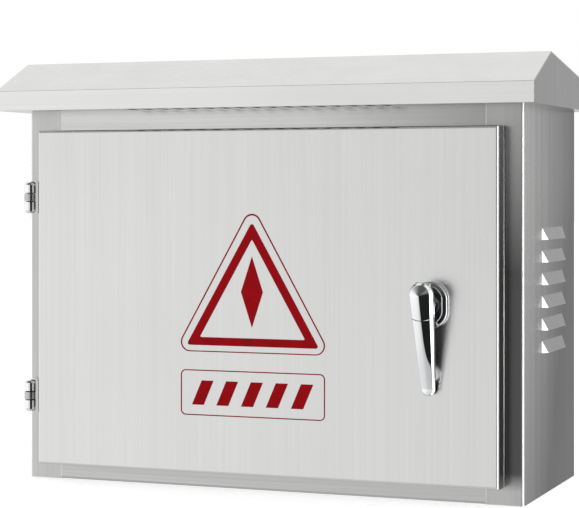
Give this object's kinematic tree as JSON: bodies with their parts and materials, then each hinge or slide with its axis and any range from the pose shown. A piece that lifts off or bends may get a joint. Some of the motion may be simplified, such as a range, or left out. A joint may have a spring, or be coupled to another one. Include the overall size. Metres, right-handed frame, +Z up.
{
  "type": "wall-mounted outdoor switchboard cabinet",
  "caption": "Brushed stainless wall cabinet with a gabled rain hood, a hinged overlay door with a turning latch handle, side louvres and breakers on rails inside.",
  "frame": {"origin": "middle of the four wall holes, on the rear face, at half the height of the body below the hood", "axes": "+X to the right seen from the front, +Y into the wall, +Z up"},
  "size_m": [0.536, 0.262, 0.409],
  "materials": {
    "brushed_stainless": "hairline brushed, edges bright",
    "chrome_plate": "polished plate on zinc die casting",
    "zinc_plate": "bright zinc plate, lightly worn",
    "galvanised_sheet": "galvanised, faint spangle",
    "black_rubber": "matt moulded rubber",
    "foam_seal": "closed-cell foam",
    "red_print": "thin dark red film, satin",
    "brass": "drawn brass",
    "clear_bumper": "pale soft plastic",
    "breaker_casing": "moulded, fine grain",
    "main_toggle_plastic": "moulded black",
    "branch_toggle_plastic": "moulded blue",
    "comb_insulation": "moulded grey",
    "terminal_plastic": "moulded grey",
    "insulator_blue": "moulded blue"
  },
  "bodies": {
    "cabinet": {"rear_panel": "brushed_stainless", "left_side_panel": "brushed_stainless", "right_side_panel": "brushed_stainless", "top_panel": "brushed_stainless", "bottom_panel": "brushed_stainless", "gland_plate": "brushed_stainless", "hood_roof": "brushed_stainless", "hood_left_gable": "brushed_stainless", "hood_right_gable": "brushed_stainless", "hood_soffit": "brushed_stainless", "hood_ribs": "brushed_stainless", "gland_plate_screws": "zinc_plate", "hood_screws": "zinc_plate", "hinge_frame_nuts": "zinc_plate", "plate_studs": "zinc_plate", "plate_nuts": "zinc_plate", "bar_screws": "zinc_plate", "mounting_plate": "galvanised_sheet", "din_rails": "galvanised_sheet", "supply_grommet": "black_rubber", "outgoing_grommet": "black_rubber", "upper_hinge_frame_leaf": "chrome_plate", "upper_hinge_pin": "zinc_plate", "lower_hinge_frame_leaf": "chrome_plate", "lower_hinge_pin": "zinc_plate", "main_breaker": "breaker_casing", "comb_busbar": "comb_insulation", "terminal_blocks": "terminal_plastic", "neutral_bar": "brass", "earth_bar": "brass", "neutral_insulators": "insulator_blue", "branch_breaker_1": "breaker_casing", "branch_breaker_2": "breaker_casing", "branch_breaker_3": "breaker_casing", "branch_breaker_4": "breaker_casing"},
    "door": {"door_panel": "brushed_stainless", "door_seal": "foam_seal", "door_stiffeners": "brushed_stainless", "warning_triangle": "red_print", "warning_lozenge": "red_print", "warning_plate": "red_print", "upper_hinge_door_leaf": "chrome_plate", "lower_hinge_door_leaf": "chrome_plate", "hinge_door_nuts": "zinc_plate", "handle_base": "chrome_plate", "handle_washer": "black_rubber", "handle_nut": "zinc_plate"},
    "handle": {"handle_spindle": "zinc_plate", "handle_lever": "chrome_plate", "lock_cover_pin": "zinc_plate", "lever_bumper": "clear_bumper", "latch_tongue": "zinc_plate", "latch_screw": "zinc_plate"},
    "lock_cover": {"lock_cover": "chrome_plate"},
    "lock_cylinder": {"lock_cylinder": "brass"},
    "main_toggle": {"main_toggle": "main_toggle_plastic"},
    "branch_toggle_1": {"branch_toggle_1": "branch_toggle_plastic"},
    "branch_toggle_2": {"branch_toggle_2": "branch_toggle_plastic"},
    "branch_toggle_3": {"branch_toggle_3": "branch_toggle_plastic"},
    "branch_toggle_4": {"branch_toggle_4": "branch_toggle_plastic"}
  },
  "joints": [
    {"name": "door_hinge", "type": "hinge", "parent": "cabinet", "child": "door", "pos_m": [-0.2433, -0.211, 0], "axis": [0, 0, -1], "range_deg": [0, 180]},
    {"name": "handle_turn", "type": "hinge", "parent": "door", "child": "handle", "pos_m": [0.17, -0.222, 0], "axis": [0, 1, 0], "range_deg": [0, 90]},
    {"name": "lock_cover_flip", "type": "hinge", "parent": "handle", "child": "lock_cover", "pos_m": [0.17, -0.246, 0.019], "axis": [-1, 0, 0], "range_deg": [0, 110]},
    {"name": "key_turn", "type": "hinge", "parent": "handle", "child": "lock_cylinder", "pos_m": [0.17, -0.25, 0], "axis": [0, 1, 0], "range_deg": [0, 90]},
    {"name": "main_toggle_throw", "type": "hinge", "parent": "cabinet", "child": "main_toggle", "pos_m": [-0.045, -0.0795, 0.062], "axis": [1, 0, 0], "range_deg": [0, 80]},
    {"name": "branch_toggle_1_throw", "type": "hinge", "parent": "cabinet", "child": "branch_toggle_1", "pos_m": [0.009, -0.0795, 0.062], "axis": [1, 0, 0], "range_deg": [0, 80]},
    {"name": "branch_toggle_2_throw", "type": "hinge", "parent": "cabinet", "child": "branch_toggle_2", "pos_m": [0.027, -0.0795, 0.062], "axis": [1, 0, 0], "range_deg": [0, 80]},
    {"name": "branch_toggle_3_throw", "type": "hinge", "parent": "cabinet", "child": "branch_toggle_3", "pos_m": [0.045, -0.0795, 0.062], "axis": [1, 0, 0], "range_deg": [0, 80]},
    {"name": "branch_toggle_4_throw", "type": "hinge", "parent": "cabinet", "child": "branch_toggle_4", "pos_m": [0.063, -0.0795, 0.062], "axis": [1, 0, 0], "range_deg": [0, 80]}
  ]
}
